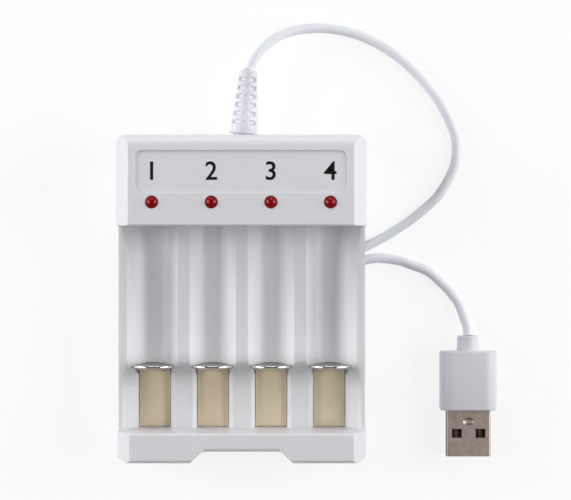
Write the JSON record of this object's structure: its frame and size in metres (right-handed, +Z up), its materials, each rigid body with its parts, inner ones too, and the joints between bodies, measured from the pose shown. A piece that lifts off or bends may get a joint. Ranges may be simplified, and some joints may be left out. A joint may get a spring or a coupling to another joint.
{
  "type": "battery charger",
  "caption": "Flat charger for AA and AAA cells: header with lamps, open troughs with sprung sliding contacts, notched end block, short lead with plug.",
  "frame": {"origin": "under the middle of the case, on the surface that it stands on", "axes": "+Z up, +Y along the case towards the header and its lead, +X to the right seen from above"},
  "size_m": [0.1026, 0.1186, 0.0278],
  "materials": {
    "casing_white": "satin moulded plastic",
    "lead_white": "soft satin sheath",
    "grip_white": "soft satin moulding",
    "lamp_red": "clear tinted lens",
    "contact_chrome": "bright plated sheet",
    "contact_steel": "nickel-plated sheet",
    "rail_brass": "satin",
    "shell_steel": "satin nickel",
    "screw_steel": "zinc-plated",
    "spring_steel": "drawn wire",
    "can_metal": "satin",
    "pin_gold": "thin gold plating",
    "board_green": "lacquered laminate",
    "black_plastic": "moulded",
    "carriage_grey": "moulded",
    "wire_red": "insulation",
    "wire_black": "insulation"
  },
  "bodies": {
    "case": {"upper_casing": "casing_white", "base_cover": "casing_white", "case_screws": "screw_steel", "circuit_board": "board_green", "board_screws": "screw_steel", "charge_chip": "black_plastic", "input_capacitor": "can_metal", "resistors": "black_plastic", "transistors": "black_plastic", "supply_wires": "wire_red", "negative_lead": "wire_black", "negative_busbar": "rail_brass", "strain_relief": "lead_white", "supply_lead": "lead_white", "plug_body": "grip_white", "plug_shell": "shell_steel", "plug_tongue": "black_plastic", "plug_pins": "pin_gold", "indicator_lamp_1": "lamp_red", "positive_contact_1": "contact_steel", "contact_rail_1": "rail_brass", "return_spring_1": "spring_steel", "indicator_lamp_2": "lamp_red", "positive_contact_2": "contact_steel", "contact_rail_2": "rail_brass", "return_spring_2": "spring_steel", "indicator_lamp_3": "lamp_red", "positive_contact_3": "contact_steel", "contact_rail_3": "rail_brass", "return_spring_3": "spring_steel", "indicator_lamp_4": "lamp_red", "positive_contact_4": "contact_steel", "contact_rail_4": "rail_brass", "return_spring_4": "spring_steel"},
    "slider_1": {"slider_contact_1": "contact_chrome", "slider_carriage_1": "carriage_grey"},
    "slider_2": {"slider_contact_2": "contact_chrome", "slider_carriage_2": "carriage_grey"},
    "slider_3": {"slider_contact_3": "contact_chrome", "slider_carriage_3": "carriage_grey"},
    "slider_4": {"slider_contact_4": "contact_chrome", "slider_carriage_4": "carriage_grey"}
  },
  "joints": [
    {"name": "slider_1_slide", "type": "slide", "parent": "case", "child": "slider_1", "axis": [0, -1, 0], "range_m": [0, 0.0116], "stiffness_N_per_m": 100, "springref_m": -0.004, "deforming": ["return_spring_1"]},
    {"name": "slider_2_slide", "type": "slide", "parent": "case", "child": "slider_2", "axis": [0, -1, 0], "range_m": [0, 0.0116], "stiffness_N_per_m": 100, "springref_m": -0.004, "deforming": ["return_spring_2"]},
    {"name": "slider_3_slide", "type": "slide", "parent": "case", "child": "slider_3", "axis": [0, -1, 0], "range_m": [0, 0.0116], "stiffness_N_per_m": 100, "springref_m": -0.004, "deforming": ["return_spring_3"]},
    {"name": "slider_4_slide", "type": "slide", "parent": "case", "child": "slider_4", "axis": [0, -1, 0], "range_m": [0, 0.0116], "stiffness_N_per_m": 100, "springref_m": -0.004, "deforming": ["return_spring_4"]}
  ]
}
